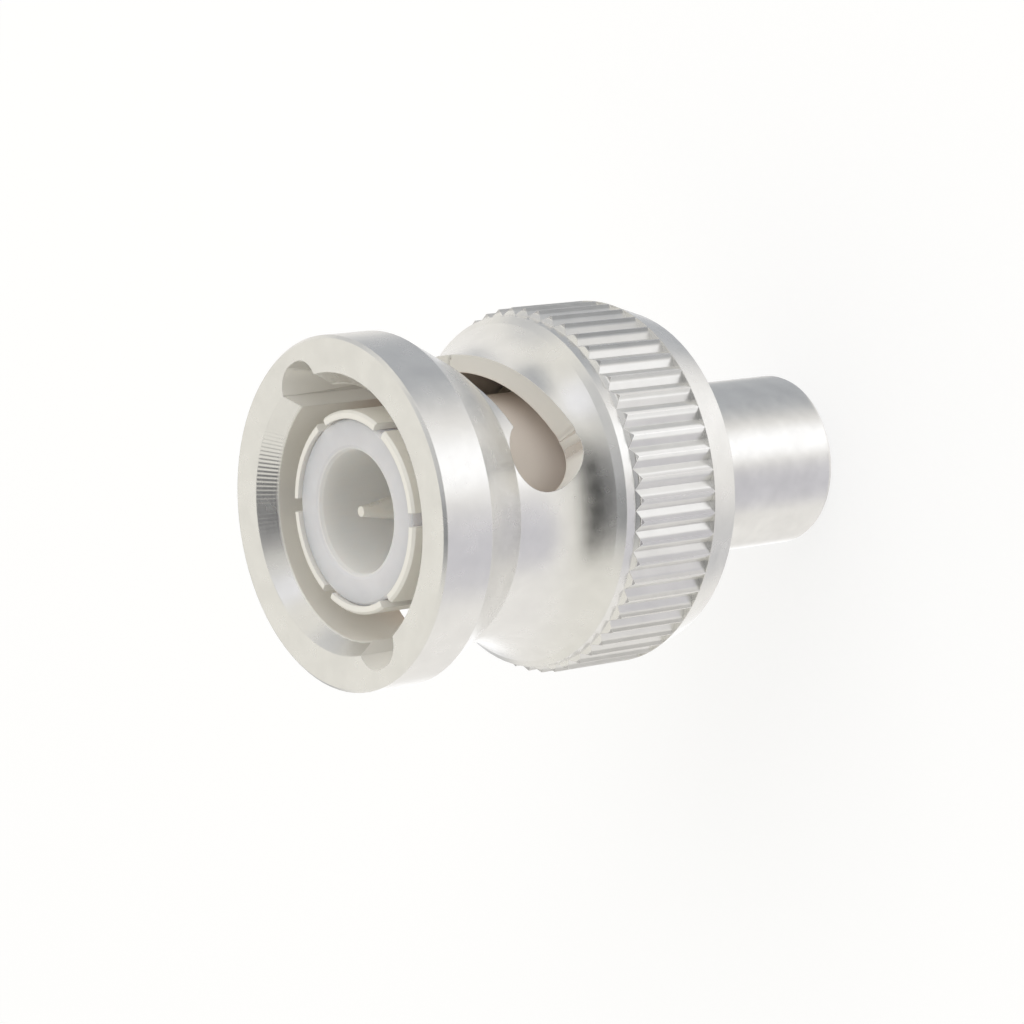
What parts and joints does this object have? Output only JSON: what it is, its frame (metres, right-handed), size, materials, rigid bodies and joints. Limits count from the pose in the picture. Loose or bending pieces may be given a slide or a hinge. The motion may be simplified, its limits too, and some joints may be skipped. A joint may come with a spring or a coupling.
{
  "type": "bnc terminating plug",
  "caption": "Bayonet coaxial plug with a knurled turning nut, slotted spring contact, white insulator, centre pin and a closed round tail that holds a terminating resistor.",
  "frame": {"origin": "centre of the tail's flat end, on the plug's axis", "axes": "+Z along the plug's axis towards the mating face; +X passes the end pocket of one cam slot by about 18 degrees"},
  "size_m": [0.0148, 0.0148, 0.023],
  "materials": {
    "nut_plating": "bright silver-toned plating, lightly satin, on turned brass",
    "contact_plating": "silver-toned plating on spring brass",
    "body_plating": "silver-toned plating on turned brass",
    "cap_plating": "silver-toned plating on turned brass, lightly mottled",
    "pin_plating": "pale plating on turned brass",
    "insulator": "white fluoroplastic, waxy",
    "gasket_rubber": "grey-brown silicone rubber",
    "washer_steel": "plain flat steel",
    "spring_bronze": "plated spring bronze",
    "ring_bronze": "plated spring bronze",
    "resistor_ceramic": "lacquered ceramic rod",
    "resistor_metal": "tinned metal",
    "solder": "solder, smooth"
  },
  "bodies": {
    "connector": {"connector_body": "body_plating", "outer_contact": "contact_plating", "front_insulator": "insulator", "rear_insulator": "insulator", "centre_pin": "pin_plating", "interface_gasket": "gasket_rubber", "seat_washer": "washer_steel", "front_wave_washer": "spring_bronze", "rear_wave_washer": "spring_bronze", "retaining_ring": "ring_bronze", "resistor_core": "resistor_ceramic", "resistor_front_cap": "resistor_metal", "resistor_rear_cap": "resistor_metal", "resistor_front_lead": "resistor_metal", "resistor_rear_lead": "resistor_metal", "pin_solder": "solder", "cap_solder": "solder", "end_cap": "cap_plating"},
    "nut_carrier": {"thrust_washer": "washer_steel"},
    "nut": {"coupling_nut": "nut_plating"}
  },
  "joints": [
    {"name": "nut_slide", "type": "slide", "parent": "connector", "child": "nut_carrier", "axis": [0, 0, 1], "range_m": [0, 0.00038], "stiffness_N_per_m": 1200, "springref_m": -0.0005, "deforming": ["front_wave_washer", "rear_wave_washer"]},
    {"name": "nut_turn", "type": "hinge", "parent": "nut_carrier", "child": "nut", "pos_m": [0, 0, 0.0156], "axis": [0, 0, 1], "continuous": true}
  ]
}
